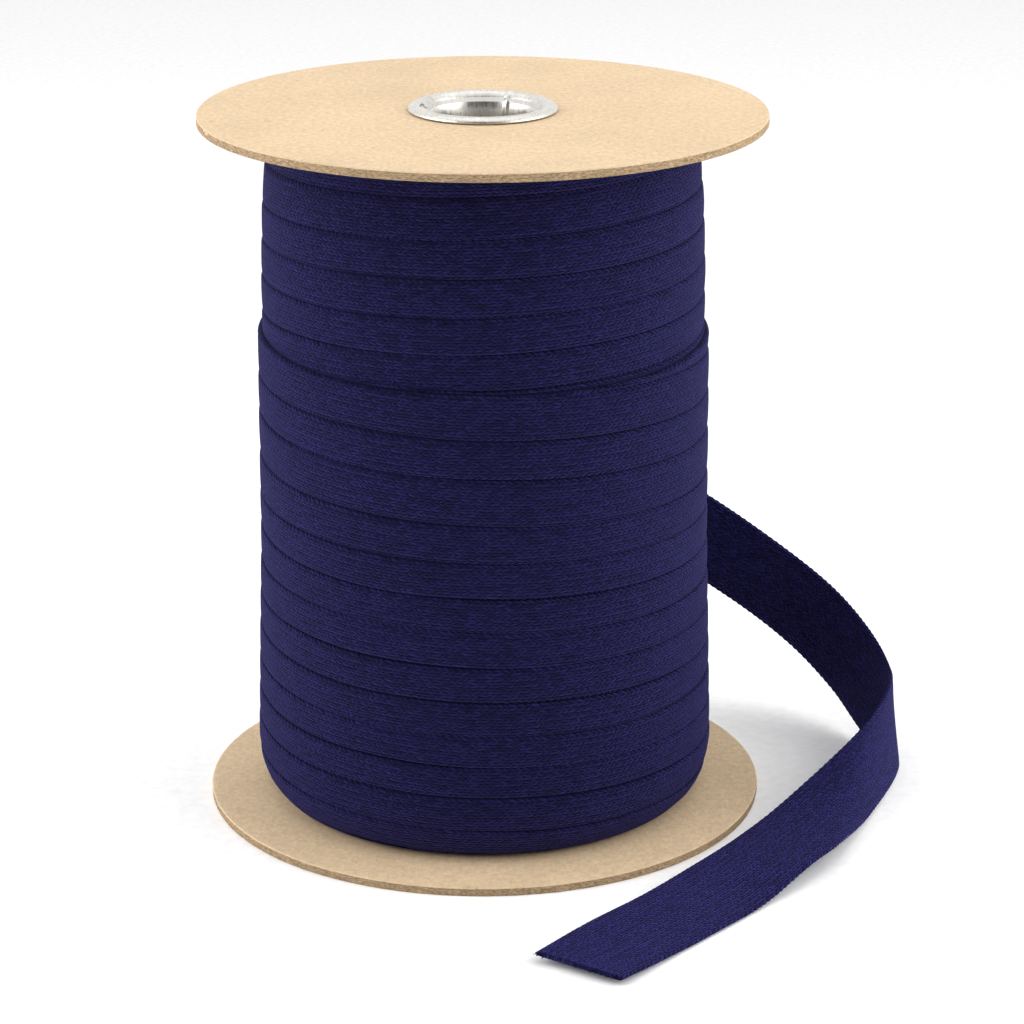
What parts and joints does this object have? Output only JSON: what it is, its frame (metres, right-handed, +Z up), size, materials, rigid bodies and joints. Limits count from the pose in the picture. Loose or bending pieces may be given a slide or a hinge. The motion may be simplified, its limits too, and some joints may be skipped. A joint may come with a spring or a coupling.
{
  "type": "reel of braid binding",
  "caption": "Flanged reel wound with flat navy braid binding, with one loose tail lying on the surface.",
  "frame": {"origin": "middle of the bounding box of the reel and its tail, on the surface that the reel stands on", "axes": "+Z up along the reel's axis, -Y towards the viewer of the picture, +X to the side where the tail hangs"},
  "size_m": [0.1964, 0.2068, 0.1957],
  "materials": {
    "board_bottom": "smooth tan fibreboard, cut edge darker",
    "board_top": "smooth tan fibreboard, cut edge darker",
    "tube_metal": "satin sheet metal, rolled rim",
    "wound_braid": "matt navy plaited braid, wound in overlapping turns",
    "tail_braid": "matt navy plaited braid"
  },
  "bodies": {
    "root": {"flange_bottom": "board_bottom", "flange_top": "board_top", "core_tube": "tube_metal", "winding": "wound_braid", "tail": "tail_braid"}
  },
  "joints": []
}
